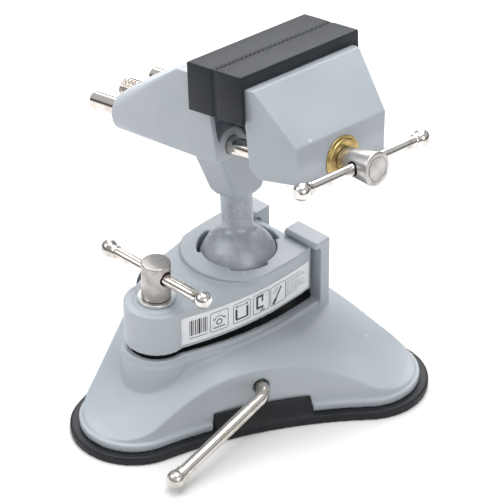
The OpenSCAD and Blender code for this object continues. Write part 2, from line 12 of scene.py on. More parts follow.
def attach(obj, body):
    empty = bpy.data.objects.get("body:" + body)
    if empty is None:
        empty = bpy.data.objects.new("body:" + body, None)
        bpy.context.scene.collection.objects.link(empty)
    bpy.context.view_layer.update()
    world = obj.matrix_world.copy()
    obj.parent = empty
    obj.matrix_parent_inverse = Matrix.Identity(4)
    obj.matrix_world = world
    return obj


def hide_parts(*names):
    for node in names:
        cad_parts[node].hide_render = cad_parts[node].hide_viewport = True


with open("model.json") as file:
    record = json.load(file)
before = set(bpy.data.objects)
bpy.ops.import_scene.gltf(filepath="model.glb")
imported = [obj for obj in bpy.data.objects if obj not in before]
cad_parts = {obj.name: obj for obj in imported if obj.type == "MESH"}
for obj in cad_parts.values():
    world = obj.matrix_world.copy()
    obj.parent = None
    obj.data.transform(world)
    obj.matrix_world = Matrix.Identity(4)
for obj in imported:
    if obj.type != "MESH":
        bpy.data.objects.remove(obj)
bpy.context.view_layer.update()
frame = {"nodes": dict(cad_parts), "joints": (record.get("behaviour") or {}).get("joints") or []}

MM = 0.001
JOINTS = {j["name"]: j for j in frame["joints"]}


# ---- local frames, from the joints ----

def frame_of(origin, x_axis, y_axis, z_axis):
    """The matrix that places local millimetre shapes, whose axes are the given directions."""
    columns = Matrix((Vector(x_axis), Vector(y_axis), Vector(z_axis))).transposed().to_4x4()
    return Matrix.Translation(Vector(origin)) @ columns


WORLD = Matrix.Identity(4)
HEAD = frame_of(JOINTS["head_turn"]["pos_m"], JOINTS["jaw_slide"]["axis"],
                JOINTS["handle_slide"]["axis"], JOINTS["head_turn"]["axis"])


def span(node, place=WORLD):
    """Lowest and highest corners of a CAD node in a local frame, in millimetres."""
    back = np.array(place.inverted())
    points = np.array([v.co for v in frame["nodes"][node].data.vertices], float)
    local = points @ back[:3, :3].T + back[:3, 3]
    return local.min(0) / MM, local.max(0) / MM


# ---- mesh helpers ----

def new_object(name, verts, faces, place=WORLD, crease=35):
    """A mesh object from local millimetre vertices."""
    mesh = bpy.data.meshes.new(name)
    mesh.from_pydata([tuple(v) for v in verts], [], [tuple(f) for f in faces])
    obj = bpy.data.objects.new(name, mesh)
    bpy.context.scene.collection.objects.link(obj)
    tidy_normals(obj)
    mesh.transform(place @ Matrix.Scale(MM, 4))
    shade(obj, crease)
    return obj


def tidy_normals(obj):
    bm = bmesh.new()
    bm.from_mesh(obj.data)
    bmesh.ops.recalc_face_normals(bm, faces=bm.faces)
    bm.to_mesh(obj.data)
    bm.free()


def shade(obj, crease=35):
    obj.data.shade_smooth()
    obj.data.set_sharp_from_angle(angle=math.radians(crease))


def copy_of(name, node):
    """A new object with a copy of a CAD node's mesh."""
    obj = bpy.data.objects.new(name, frame["nodes"][node].data.copy())
    obj.data.materials.clear()
    bpy.context.scene.collection.objects.link(obj)
    return obj


def apply_modifiers(obj):
    graph = bpy.context.evaluated_depsgraph_get()
    graph.update()
    mesh = bpy.data.meshes.new_from_object(obj.evaluated_get(graph))
    obj.modifiers.clear()
    obj.data = mesh


def join(objects):
    """Merges the meshes of several objects into the first one."""
    first = objects[0]
    bm = bmesh.new()
    for obj in objects:
        bm.from_mesh(obj.data)
    bm.to_mesh(first.data)
    bm.free()
    for obj in objects[1:]:
        bpy.data.objects.remove(obj)
    return first


def cut(obj, tool, kind="DIFFERENCE"):
    modifier = obj.modifiers.new("cut", "BOOLEAN")
    modifier.operation = kind
    modifier.solver = "EXACT"
    modifier.object = tool
    apply_modifiers(obj)
    bpy.data.objects.remove(tool)
    return obj


def soften(obj, voxel, passes, keep=0.5):
    """Rounds every edge, as a die casting has them: remeshes with small cells, then smooths and thins out."""
    remesh = obj.modifiers.new("cells", "REMESH")
    remesh.mode = "VOXEL"
    remesh.voxel_size = voxel * MM
    smooth = obj.modifiers.new("smooth", "SMOOTH")
    smooth.factor = 0.5
    smooth.iterations = passes
    if keep < 1:
        thin = obj.modifiers.new("thin", "DECIMATE")
        thin.ratio = keep
    apply_modifiers(obj)
    obj.data.shade_smooth()
    return obj


def rounded(points, radius, steps=4):
    """A profile whose corners, all but its two ends, are rounded."""
    out = [Vector(points[0])]
    for a, p, b in zip(points, points[1:], points[2:]):
        a, p, b = Vector(a), Vector(p), Vector(b)
        reach = min(radius, (a - p).length * 0.45, (b - p).length * 0.45)
        start, end = p + (a - p).normalized() * reach, p + (b - p).normalized() * reach
        for i in range(steps + 1):
            t = i / steps
            out.append(start * (1 - t) ** 2 + p * 2 * t * (1 - t) + end * t * t)
    out.append(Vector(points[-1]))
    return out


def lathe(name, profile, place=WORLD, steps=72, crease=35):
    """A solid of revolution about local Z from (radius, height) points, in millimetres."""
    verts, faces, rings = [], [], []
    for radius, height in profile:
        if radius < 1e-4:
            rings.append([len(verts)])
            verts.append((0, 0, height))
            continue
        rings.append(list(range(len(verts), len(verts) + steps)))
        for i in range(steps):
            a = 2 * math.pi * i / steps
            verts.append((radius * math.cos(a), radius * math.sin(a), height))
    for low, high in zip(rings, rings[1:]):
        for i in range(steps):
            j = (i + 1) % steps
            if len(low) == 1 and len(high) == 1:
                continue
            if len(low) == 1:
                faces.append((low[0], high[j], high[i]))
            elif len(high) == 1:
                faces.append((low[i], low[j], high[0]))
            else:
                faces.append((low[i], low[j], high[j], high[i]))
    return new_object(name, verts, faces, place, crease)


def threaded(name, root, crest, pitch, low, high, place=WORLD, steps=40):
    """A right-hand screw thread about local Z with chamfered ends."""
    rows = int((high - low) / pitch * 8)
    heights = np.linspace(low, high, rows + 1)
    angles = np.arange(steps) * 2 * math.pi / steps
    phase = (heights[:, None] / pitch - angles[None, :] / (2 * math.pi)) % 1
    # one turn's profile: 1 on the crest, 0 in the root, and slanted flanks between them
    flank = np.interp(phase, [0, 0.2, 0.45, 0.6, 0.85, 1], [1, 1, 0, 0, 1, 1])
    radius = root + (crest - root) * flank
    end = np.minimum(heights - low, high - heights)
    radius = np.minimum(radius, root - 0.5 + end[:, None] * 1.2)
    verts = [(r * math.cos(a), r * math.sin(a), h)
             for h, row in zip(heights, radius) for a, r in zip(angles, row)]
    faces = []
    for i in range(rows):
        for k in range(steps):
            n = (k + 1) % steps
            faces.append((i * steps + k, i * steps + n, (i + 1) * steps + n, (i + 1) * steps + k))
    faces.append(range(steps))
    faces.append(range(len(verts) - steps, len(verts)))
    return new_object(name, verts, faces, place, 50)


# turns a shape made along local Z to lie along local X
ALONG_X = Matrix(((0, 0, 1, 0), (0, 1, 0, 0), (-1, 0, 0, 0), (0, 0, 0, 1)))


def at(place, x=0, y=0, z=0):
    return place @ Matrix.Translation(Vector((x, y, z)) * MM)


# ---- materials ----

def material(name, colour, rough, metallic=0.0, **sockets):
    """A new node material whose shader has these plain values; extra ones go by the socket's name."""
    mat = bpy.data.materials.new(name)
    mat.use_nodes = True
    shader = mat.node_tree.nodes["Principled BSDF"]
    shader.inputs["Base Color"].default_value = (*colour, 1)
    shader.inputs["Roughness"].default_value = rough
    shader.inputs["Metallic"].default_value = metallic
    for socket, value in sockets.items():
        shader.inputs[socket.replace("_", " ")].default_value = value
    return mat


def add(mat, kind, links=(), **values):
    """Adds a node; links are (input, other node, its output)."""
    node = mat.node_tree.nodes.new(kind)
    for key, value in values.items():
        if hasattr(node, key):
            setattr(node, key, value)
        else:
            node.inputs[key.replace("_", " ")].default_value = value
    for socket, other, output in links:
        mat.node_tree.links.new(other.outputs[output], node.inputs[socket])
    return node


def shader_of(mat):
    return mat.node_tree.nodes["Principled BSDF"]


def link(mat, node, output, socket):
    mat.node_tree.links.new(node.outputs[output], shader_of(mat).inputs[socket])


def coordinates(mat, scale=(1, 1, 1)):
    """Object coordinates in millimetres."""
    where = add(mat, "ShaderNodeTexCoord")
    return add(mat, "ShaderNodeMapping", [("Vector", where, "Object")],
               Scale=tuple(s / MM for s in scale))


def noise(mat, where, scale, detail=3.0, rough=0.5):
    return add(mat, "ShaderNodeTexNoise", [("Vector", where, 0)], Scale=scale, Detail=detail, Roughness=rough)


def ramp(mat, source, output, stops):
    """A colour ramp from (position, grey or colour) stops."""
    node = add(mat, "ShaderNodeValToRGB", [("Fac", source, output)])
    while len(node.color_ramp.elements) < len(stops):
        node.color_ramp.elements.new(0.5)
    for element, (position, value) in zip(node.color_ramp.elements, stops):
        element.position = position
        element.color = (*value, 1) if isinstance(value, tuple) else (value, value, value, 1)
    return node


def bump(mat, layers):
    """Chains bump nodes: each layer is (node, output, strength, distance in mm)."""
    last = None
    for source, output, strength, distance in layers:
        links = [("Height", source, output)]
        if last:
            links.append(("Normal", last, 0))
        last = add(mat, "ShaderNodeBump", links, Strength=strength, Distance=distance * MM)
    link(mat, last, 0, "Normal")


def mix(mat, factor, output, low, high):
    """Mixes two plain colours, or a node's colour with a plain one, by a factor."""
    node = mat.node_tree.nodes.new("ShaderNodeMix")
    node.data_type = "RGBA"
    mat.node_tree.links.new(factor.outputs[output], node.inputs[0])
    for index, value in ((6, low), (7, high)):
        if isinstance(value, tuple) and not isinstance(value[0], bpy.types.Node):
            node.inputs[index].default_value = (*value, 1)
        else:
            mat.node_tree.links.new(value[0].outputs[value[1]], node.inputs[index])
    return node


def cast_paint():
    """Semi-gloss grey paint on a die casting: slight orange peel, a few pits, paler worn edges."""
    mat = material("cast_paint", (0.36, 0.4, 0.43), 0.38, Specular_IOR_Level=0.5)
    where = coordinates(mat)
    cloud = noise(mat, where, 0.03, 4)
    tone = mix(mat, ramp(mat, cloud, "Fac", [(0.35, 0.0), (0.65, 1.0)]), 0,
               (0.385, 0.425, 0.465), (0.43, 0.47, 0.51))
    edge = add(mat, "ShaderNodeNewGeometry")
    worn = ramp(mat, edge, "Pointiness", [(0.53, 0.0), (0.6, 1.0)])
    colour = mix(mat, worn, 0, (tone, 2), (0.55, 0.58, 0.61))
    link(mat, colour, 2, "Base Color")
    fine = noise(mat, where, 1.6, 2)
    peel = noise(mat, where, 0.25, 2)
    pits = add(mat, "ShaderNodeTexVoronoi", [("Vector", where, 0)], Scale=0.16)
    pit = ramp(mat, pits, "Distance", [(0.0, 0.0), (0.055, 1.0)])
    gloss = ramp(mat, noise(mat, where, 0.12, 3), "Fac", [(0.3, 0.33), (0.7, 0.44)])
    link(mat, gloss, 0, "Roughness")
    bump(mat, [(peel, "Fac", 0.25, 0.12), (fine, "Fac", 0.2, 0.04), (pit, 0, 0.35, 0.15)])
    return mat


def speckled_metal():
    """The rough grey of the ball and its stem: sparkling grains and dark rubbed patches."""
    mat = material("ball_metal", (0.34, 0.37, 0.4), 0.42, 0.35)
    where = coordinates(mat)
    grain = noise(mat, where, 2.2, 3, 0.7)
    patch = noise(mat, where, 0.3, 5, 0.65)
    dark = mix(mat, ramp(mat, patch, "Fac", [(0.35, 0.0), (0.65, 1.0)]), 0,
               (0.34, 0.37, 0.405), (0.44, 0.47, 0.51))
    bright = ramp(mat, grain, "Fac", [(0.55, 0.0), (0.68, 1.0)])
    colour = mix(mat, bright, 0, (dark, 2), (0.66, 0.69, 0.72))
    link(mat, colour, 2, "Base Color")
    link(mat, ramp(mat, grain, "Fac", [(0.3, 0.3), (0.7, 0.55)]), 0, "Roughness")
    bump(mat, [(noise(mat, where, 0.5, 3), "Fac", 0.3, 0.12), (grain, "Fac", 0.35, 0.06)])
    return mat


def rubber(name, dark, light, dust):
    """Matt rubber with a fine moulded grain and specks of dust."""
    mat = material(name, dark, 0.6, Specular_IOR_Level=0.35)
    where = coordinates(mat)
    cloud = noise(mat, where, 0.08, 4)
    tone = mix(mat, ramp(mat, cloud, "Fac", [(0.3, 0.0), (0.7, 1.0)]), 0, dark, light)
    specks = add(mat, "ShaderNodeTexVoronoi", [("Vector", where, 0)], Scale=0.6)
    near = ramp(mat, specks, "Distance", [(0.0, 1.0), (0.1, 0.0)])
    some = ramp(mat, noise(mat, where, 0.35, 2), "Fac", [(0.5, 0.0), (0.58, 1.0)])
    both = add(mat, "ShaderNodeMath", [(0, near, 0), (1, some, 0)], operation="MULTIPLY")
    colour = mix(mat, both, 0, (tone, 2), dust)
    link(mat, colour, 2, "Base Color")
    grain = noise(mat, where, 2.5, 3, 0.6)
    link(mat, ramp(mat, grain, "Fac", [(0.3, 0.42), (0.7, 0.6)]), 0, "Roughness")
    bump(mat, [(noise(mat, where, 0.3, 3), "Fac", 0.35, 0.2), (grain, "Fac", 0.45, 0.08)])
    return mat


def plated(name, colour, rough, ribs=None, stain=(0.5, 0.44, 0.38), metallic=1.0):
    """Plated steel: turning or drawing marks along one axis, faint stains and smears."""
    mat = material(name, colour, rough, metallic)
    where = coordinates(mat)
    smear = noise(mat, where, 0.18, 4)
    tone = mix(mat, ramp(mat, smear, "Fac", [(0.45, 0.0), (0.75, 1.0)]), 0, colour, stain)
    link(mat, tone, 2, "Base Color")
    fine = noise(mat, where, 3.0, 3, 0.6)
    link(mat, ramp(mat, smear, "Fac", [(0.3, rough * 0.75), (0.75, rough * 1.5)]), 0, "Roughness")
    layers = [(fine, "Fac", 0.15, 0.02)]
    if ribs:
        stretched = coordinates(mat, ribs)
        layers.append((noise(mat, stretched, 1.0, 2), "Fac", 0.3, 0.05))
    bump(mat, layers)
    return mat


def brass():
    mat = material("brass", (0.55, 0.38, 0.13), 0.24, 1.0)
    where = coordinates(mat)
    smear = noise(mat, where, 0.25, 4)
    tone = mix(mat, ramp(mat, smear, "Fac", [(0.4, 0.0), (0.75, 1.0)]), 0,
               (0.58, 0.43, 0.18), (0.46, 0.33, 0.14))
    link(mat, tone, 2, "Base Color")
    link(mat, ramp(mat, smear, "Fac", [(0.3, 0.2), (0.8, 0.42)]), 0, "Roughness")
    bump(mat, [(noise(mat, where, 2.5, 3), "Fac", 0.2, 0.03)])
    return mat


def sticker():
    mat = material("sticker", (0.78, 0.79, 0.81), 0.3, Specular_IOR_Level=0.5)
    where = coordinates(mat)
    cloud = noise(mat, where, 0.1, 3)
    tone = mix(mat, ramp(mat, cloud, "Fac", [(0.35, 0.0), (0.7, 1.0)]), 0,
               (0.75, 0.765, 0.79), (0.8, 0.81, 0.825))
    link(mat, tone, 2, "Base Color")
    link(mat, ramp(mat, cloud, "Fac", [(0.3, 0.24), (0.7, 0.38)]), 0, "Roughness")
    bump(mat, [(noise(mat, where, 0.4, 2), "Fac", 0.15, 0.05)])
    return mat


def ink():
    mat = material("ink", (0.03, 0.03, 0.035), 0.5)
    where = coordinates(mat)
    worn = ramp(mat, noise(mat, where, 2.5, 3), "Fac", [(0.58, 0.0), (0.72, 1.0)])
    link(mat, mix(mat, worn, 0, (0.025, 0.026, 0.03), (0.2, 0.2, 0.21)), 2, "Base Color")
    bump(mat, [(noise(mat, where, 3.0, 2), "Fac", 0.1, 0.02)])
    return mat


def nylon():
    mat = material("nylon", (0.58, 0.55, 0.5), 0.5)
    where = coordinates(mat)
    cloud = noise(mat, where, 0.3, 4)
    link(mat, mix(mat, ramp(mat, cloud, "Fac", [(0.3, 0.0), (0.7, 1.0)]), 0,
                  (0.5, 0.47, 0.42), (0.62, 0.6, 0.55)), 2, "Base Color")
    bump(mat, [(noise(mat, where, 2.0, 3), "Fac", 0.2, 0.05)])
    return mat


def painted_hollow_shade():
    """Painted shade: the near-black colour given to the inside of a casting's hollows, where shade falls."""
    mat = material("painted_hollow_shade", (0.02, 0.021, 0.023), 0.7)
    where = coordinates(mat)
    cloud = noise(mat, where, 0.2, 4)
    link(mat, mix(mat, ramp(mat, cloud, "Fac", [(0.3, 0.0), (0.7, 1.0)]), 0,
                  (0.012, 0.012, 0.014), (0.03, 0.031, 0.033)), 2, "Base Color")
    bump(mat, [(noise(mat, where, 1.2, 3), "Fac", 0.3, 0.1)])
    return mat


# painted shade for the insides of the hollow castings
HOLLOW_SHADE = painted_hollow_shade()
PAINT = cast_paint()
BALL = speckled_metal()
JAW_RUBBER = rubber("jaw_rubber", (0.008, 0.011, 0.016), (0.014, 0.018, 0.025), (0.22, 0.25, 0.29))
PAD_RUBBER = rubber("pad_rubber", (0.006, 0.007, 0.01), (0.012, 0.014, 0.018), (0.2, 0.21, 0.22))
BRIGHT = plated("bright_plate", (0.8, 0.78, 0.76), 0.14)
JAW_BAR = plated("jaw_bar_plate", (0.8, 0.78, 0.76), 0.16, ribs=(0, 1.6, 0))
CLAMP_BAR = plated("clamp_bar_plate", (0.78, 0.74, 0.7), 0.18, ribs=(1.6, 0, 0))
ROD = plated("rod_plate", (0.78, 0.73, 0.69), 0.13)
LEVER_METAL = plated("lever_plate", (0.72, 0.69, 0.64), 0.22)
TURNED = plated("turned_steel", (0.5, 0.47, 0.455), 0.34, stain=(0.34, 0.3, 0.28))
BARREL = plated("barrel_steel", (0.56, 0.545, 0.535), 0.3, stain=(0.38, 0.35, 0.33))
PLAIN_STEEL = plated("plain_steel", (0.5, 0.5, 0.5), 0.4, stain=(0.35, 0.33, 0.3))
ZINC = plated("zinc_plate", (0.7, 0.72, 0.72), 0.3, stain=(0.55, 0.56, 0.52))
BRASS = brass()
STICKER = sticker()
INK = ink()
NYLON = nylon()


def dress(obj, mat, body, slot, *nodes):
    """Gives a finished piece its material and its body, and hides the CAD nodes that it stands for; slot is
    not used.
    """
    obj.data.materials.clear()
    obj.data.materials.append(mat)
    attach(obj, body)
    if nodes:
        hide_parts(*nodes)
    return obj


def dress_node(node, mat):
    """Gives a CAD node that stays its material."""
    mesh = frame["nodes"][node].data
    mesh.materials.clear()
    mesh.materials.append(mat)


# ---- castings ----

# where the clamp screw stands, and where the arcs of the clamp plate's sides have their centres, along Y
CLAMP_Y = sum(v[1] for v in span("clamp_screw")) / 2
ARC_Y = 5.0
# how far outside a hollow's outline its own walls still count as inside
WALL_SLACK = 0.2


def plate_arc(half, boss):
    """Centre x and radius of the side arc of the clamp plate's outline."""
    reach = ARC_Y - 2 - CLAMP_Y
    radius = (reach ** 2 + (half - boss) ** 2) / (2 * (half - boss))
    return half - radius, radius


def outside(x, y, half, boss, rear):
    """How far plan points (mm) are outside an outline like the clamp plate's; negative inside."""
    centre, radius = plate_arc(half, boss)
    body = np.hypot(np.abs(x) - centre, y - ARC_Y) - radius
    body = np.maximum(np.maximum(body, y - rear), CLAMP_Y - y)
    return np.minimum(body, np.hypot(x, y - CLAMP_Y) - boss)


def paint_shade_inside(obj, inner, low_z, high_z):
    """Gives the faces of a hollow their own material: near-black painted shade, for the shade that falls
    inside it.
    """
    obj.data.materials.append(HOLLOW_SHADE)
    centres = np.zeros(len(obj.data.polygons) * 3)
    obj.data.polygons.foreach_get("center", centres)
    x, y, z = (centres.reshape(-1, 3) / MM).T
    # faces inside the hollow's outline and between these heights get the painted shade
    dark = (outside(x, y, *inner) < WALL_SLACK) & (z > low_z) & (z < high_z)
    obj.data.polygons.foreach_set("material_index", dark.astype(np.int32))
    return obj


def base_casting():
    obj = soften(copy_of("base_shell", "base_casting"), 0.5, 5, 0.6)
    dress(obj, PAINT, "base", "castings", "base_casting")
    hollow = (span("clamp_plate")[1][0] - 2, 12, span("base_casting")[1][1] - 6)
    floor_z, rim_z = 28, 36.4
    # the column's hollow, from its floor up to under the rim, gets painted shade
    return paint_shade_inside(obj, hollow, floor_z, rim_z)


def clamp_plate():
    obj = soften(copy_of("plate_shell", "clamp_plate"), 0.4, 5, 0.5)
    dress(obj, PAINT, "plate", "castings", "clamp_plate")
    low, high = span("clamp_plate")
    wall, boss, roof_z = 3.2, 10.8, 52
    # the plate's hollow, up to its roof, gets painted shade
    return paint_shade_inside(obj, (high[0] - wall, boss, high[1] - wall), low[2] - 1, roof_z)


def fixed_jaw():
    return dress(soften(copy_of("fixed_jaw_shell", "fixed_jaw"), 0.45, 5),
                 PAINT, "head", "castings", "fixed_jaw")


def moving_jaw():
    return dress(soften(copy_of("moving_jaw_shell", "moving_jaw"), 0.45, 5),
                 PAINT, "jaw", "castings", "moving_jaw")


# ---- ball and stem ----

def ball_stem():
    low, high = span("ball_stem", HEAD)
    radius = -low[2]
    shank, fillet, chamfer = 7.0, 1.2, 0.6
    meet = math.asin((shank + fillet) / radius)
    arc = [(radius * math.sin(a), -radius * math.cos(a)) for a in np.linspace(0, math.pi - meet, 48)]
    neck = [(shank + 0.35, radius * math.cos(meet) + 0.9), (shank, radius * math.cos(meet) + 2.2)]
    top = [(shank, high[2] - chamfer), (shank - chamfer, high[2]), (0, high[2])]
    obj = lathe("ball_and_stem", arc + neck + top, HEAD, 96)
    return dress(obj, BALL, "stem", "ball_metal", "ball_stem")


# ---- steel ----

# both screws' thread radii and pitches, and the radius of the cross hole for a tommy bar
SCREW_ROOT_R, SCREW_R, SCREW_PITCH = 3.95, 4.9, 2.0
CLAMP_ROOT_R, CLAMP_R, CLAMP_PITCH = 3.35, 3.95, 1.25
BAR_HOLE_R = 3.2


def guide_rods():
    low, high = span("guide_rods", HEAD)
    radius = (high[2] - low[2]) / 2
    height = (high[2] + low[2]) / 2
    across = high[1] - radius
    end_round = 0.9
    profile = rounded([(0, low[0]), (radius, low[0]), (radius, high[0]), (0, high[0])], end_round)
    rods = [lathe(f"rod_{i}", profile, at(HEAD, 0, side * across, height) @ ALONG_X, 64)
            for i, side in enumerate((-1, 1))]
    return dress(join(rods), ROD, "jaw", "rod_steel", "guide_rods")


def bar_with_knobs(name, place, length, radius, knob):
    """A tommy bar and its two turned knobs, along local X."""
    half = length / 2
    # the bar ends inside the knobs
    stop = half - 1
    bar = lathe(name + "_rod", [(0, -stop), (radius, -stop), (radius, stop), (0, stop)], place @ ALONG_X, 56)
    # the ball runs from its collar to the flat turned on its outer end
    collar, flat = radius + 0.45, knob - 0.55
    low, high = -math.acos(collar / knob), math.asin(flat / knob)
    ball = [(knob * math.cos(a), knob * math.sin(a)) for a in np.linspace(low, high, 22)]
    neck = [(0, -knob - 1.2), (radius + 0.12, -knob - 1.2), (radius + 0.35, -knob - 0.9),
            (collar, -knob - 0.3)]
    profile = neck + ball + [(ball[-1][0] - 0.25, flat + 0.06), (0, flat + 0.06)]
    ends = []
    for side in (0, 1):
        turn = Matrix.Rotation(math.pi * side, 4, "Z")
        ends.append(lathe(f"{name}_end_{side}", profile, at(place @ turn, half) @ ALONG_X, 48, 50))
    return bar, join(ends)


def jaw_handle():
    low, high = span("jaw_bar", HEAD)
    radius = (high[2] - low[2]) / 2
    ends_low, ends_high = span("jaw_bar_knobs", HEAD)
    knob = (ends_high[2] - ends_low[2]) / 2
    length = ends_high[1] - ends_low[1] - 2 * knob + 1.4
    place = at(HEAD, (low[0] + high[0]) / 2, 0, (low[2] + high[2]) / 2) @ Matrix.Rotation(math.pi / 2, 4, "Z")
    bar, ends = bar_with_knobs("jaw_handle", place, length, radius, knob)
    dress(bar, JAW_BAR, "handle", "bright_steel", "jaw_bar")
    dress(ends, BRIGHT, "handle", "bright_steel", "jaw_bar_knobs")


def clamp_handle():
    low, high = span("clamp_bar")
    radius = (high[2] - low[2]) / 2
    ends_low, ends_high = span("clamp_bar_knobs")
    knob = (ends_high[2] - ends_low[2]) / 2
    length = ends_high[0] - ends_low[0] - 2 * knob + 1.4
    place = at(WORLD, 0, (low[1] + high[1]) / 2, (low[2] + high[2]) / 2)
    bar, ends = bar_with_knobs("clamp_handle", place, length, radius, knob)
    dress(bar, CLAMP_BAR, "clamp_handle", "bright_steel", "clamp_bar")
    dress(ends, BRIGHT, "clamp_handle", "bright_steel", "clamp_bar_knobs")


def cross_cutter(place, hole, barrel):
    """The shape of a cross hole along local X, opened out at both mouths of a barrel."""
    flare, past = 1.1, 3
    mouth = [(hole, barrel - 0.5), (hole + flare, barrel + 0.5), (hole + flare, barrel + past)]
    profile = [(0, -barrel - past)] + [(r, -h) for r, h in reversed(mouth)] + mouth + [(0, barrel + past)]
    return lathe("cutter", profile, place @ ALONG_X, 64)


def lead_screw():
    low, high = span("lead_screw", HEAD)
    radius = (high[1] - low[1]) / 2
    height = (high[2] + low[2]) / 2
    washer = span("brass_washer", HEAD)[1][0]
    hole_at = sum(v[0] for v in span("jaw_bar", HEAD)) / 2
    place = at(HEAD, 0, 0, height)
    front = high[0]
    # the plain shank behind the barrel, the barrel's rim, and the groove turned in its end face
    seat = washer + 0.3
    shank = [(0, washer - 8), (SCREW_R, washer - 8), (SCREW_R, seat), (radius, seat)]
    rim = [shank[-1], (radius, front), (5.6, front)]
    groove = [(5.6, front), (5.45, front - 0.3), (5.1, front - 0.3), (4.95, front + 0.05), (0, front + 0.05)]
    profile = rounded(shank, 0.4)[:-1] + rounded(rim, 1.2)[1:-1] + [Vector(p) for p in groove]
    barrel = lathe("screw_barrel", profile, place @ ALONG_X, 112)
    turned = at(place, hole_at) @ Matrix.Rotation(math.pi / 2, 4, "Z")
    cut(barrel, cross_cutter(turned, BAR_HOLE_R, radius))
    shade(barrel, 40)
    thread = threaded("screw_thread", SCREW_ROOT_R, SCREW_R, SCREW_PITCH, low[0], washer - 6, place @ ALONG_X)
    dress(thread, ROD, "screw", "rod_steel")
    dress(barrel, BARREL, "screw", "bright_steel", "lead_screw")


def clamp_screw():
    low, high = span("clamp_screw")
    radius = (high[0] - low[0]) / 2
    y = (high[1] + low[1]) / 2
    seat = span("clamp_washer")[1][2]
    hole_at = sum(v[2] for v in span("clamp_bar")) / 2
    place = at(WORLD, 0, y)
    shank = CLAMP_R - 0.05
    profile = [(0, seat - 3), (shank, seat - 3), (shank, seat + 0.15), (radius, seat + 0.15),
               (radius, high[2]), (0, high[2] + 0.05)]
    barrel = lathe("clamp_barrel", rounded(profile, 0.7), place, 112)
    cut(barrel, cross_cutter(at(place, 0, 0, hole_at), BAR_HOLE_R, radius))
    shade(barrel, 40)
    thread = threaded("clamp_thread", CLAMP_ROOT_R, CLAMP_R, CLAMP_PITCH, low[2], seat - 2, place)
    dress(thread, PLAIN_STEEL, "clamp", "inner_steel")
    dress(barrel, TURNED, "clamp", "clamp_steel", "clamp_screw")


def clamp_washer():
    low, high = span("clamp_washer")
    radius = (high[0] - low[0]) / 2
    bore = 4.3
    profile = rounded([(bore, low[2]), (radius, low[2]), (radius, high[2]), (bore, high[2])], 0.35)
    obj = lathe("clamp_ring", profile + [profile[0]], at(WORLD, 0, (low[1] + high[1]) / 2), 72)
    return dress(obj, ZINC, "washer", "zinc", "clamp_washer")


def brass_washer():
    low, high = span("brass_washer", HEAD)
    radius = (high[1] - low[1]) / 2
    back, front, bore = low[0], high[0], 5.1
    profile = [(bore, back), (radius, back), (radius, back + 0.7), (radius - 1.4, back + 0.9),
               (radius - 1.6, front - 0.1), (radius - 2.8, front), (bore, front)]
    obj = lathe("thrust_ring", rounded(profile, 0.3) + [Vector(profile[0])],
                at(HEAD, 0, 0, (low[2] + high[2]) / 2) @ ALONG_X, 80)
    return dress(obj, BRASS, "jaw", "brass", "brass_washer")


# ---- vacuum lever ----

def vacuum_lever():
    rod = copy_of("lever_rod", "vacuum_lever")
    shade(rod, 30)
    dress(rod, LEVER_METAL, "lever", "lever_steel", "vacuum_lever")
    end = copy_of("lever_end", "lever_knob")
    shade(end, 50)
    dress(end, LEVER_METAL, "lever", "lever_steel", "lever_knob")


# ---- rubber ----

def teeth(side_of, place, low_z, high_z, half):
    """The serrated slab of a jaw pad's gripping face, whose back is on the side given by side_of."""
    pitch, depth, slab = 2.5, 0.6, 3
    count = int(2 * half / pitch * 2)
    face = [(depth * (1 if i % 2 else -1), -half + 2 * half * i / count) for i in range(count + 1)]
    rings = []
    for z, inset in ((low_z, 0.3), (low_z + 0.1, 0.1), (low_z + 0.3, 0), (high_z - 0.3, 0),
                     (high_z - 0.1, 0.1), (high_z, 0.3)):
        ring = [(x + (inset + 0.15) * side_of, max(-half + inset, min(half - inset, y)), z) for x, y in face]
        ring += [(slab * side_of, half - inset, z), (slab * side_of, -half + inset, z)]
        rings.append(ring)
    size = len(rings[0])
    verts = [v for ring in rings for v in ring]
    faces = []
    for r in range(len(rings) - 1):
        for i in range(size):
            j = (i + 1) % size
            faces.append((r * size + i, r * size + j, (r + 1) * size + j, (r + 1) * size + i))
    faces.append(range(size))
    faces.append(range(len(verts) - size, len(verts)))
    return new_object("teeth", verts, faces, place, 20)


def jaw_pad(name, node, body, side_of):
    """A rubber pad: the CAD shape with rounded edges, its gripping face set back behind a toothed slab."""
    low, high = span(node, HEAD)
    set_back, edge = 1.0, 0.55
    grip = high[0] if side_of < 0 else low[0]
    obj = copy_of(name, node)
    back = HEAD.inverted()
    for v in obj.data.vertices:
        local = back @ v.co / MM
        if abs(local.x - grip) < 0.05:
            local.x += set_back * side_of
            v.co = HEAD @ (local * MM)
    bm = bmesh.new()
    bm.from_mesh(obj.data)
    bmesh.ops.remove_doubles(bm, verts=bm.verts, dist=1e-6)
    bmesh.ops.dissolve_limit(bm, angle_limit=math.radians(2), verts=bm.verts, edges=bm.edges)
    bm.to_mesh(obj.data)
    bm.free()
    bevel = obj.modifiers.new("edges", "BEVEL")
    bevel.width = edge * MM
    bevel.segments = 3
    bevel.limit_method = "ANGLE"
    bevel.angle_limit = math.radians(40)
    apply_modifiers(obj)
    slab = teeth(side_of, at(HEAD, grip), low[2] + 0.2, high[2] - 0.15, high[1] - 0.3)
    obj = join([obj, slab])
    shade(obj, 30)
    return dress(obj, JAW_RUBBER, body, "jaw_rubber", node)


def suction_pad():
    return dress(soften(copy_of("pad_rubber_sheet", "suction_pad"), 0.6, 8),
                 PAD_RUBBER, "base", "base_rubber", "suction_pad")


# ---- the label ----

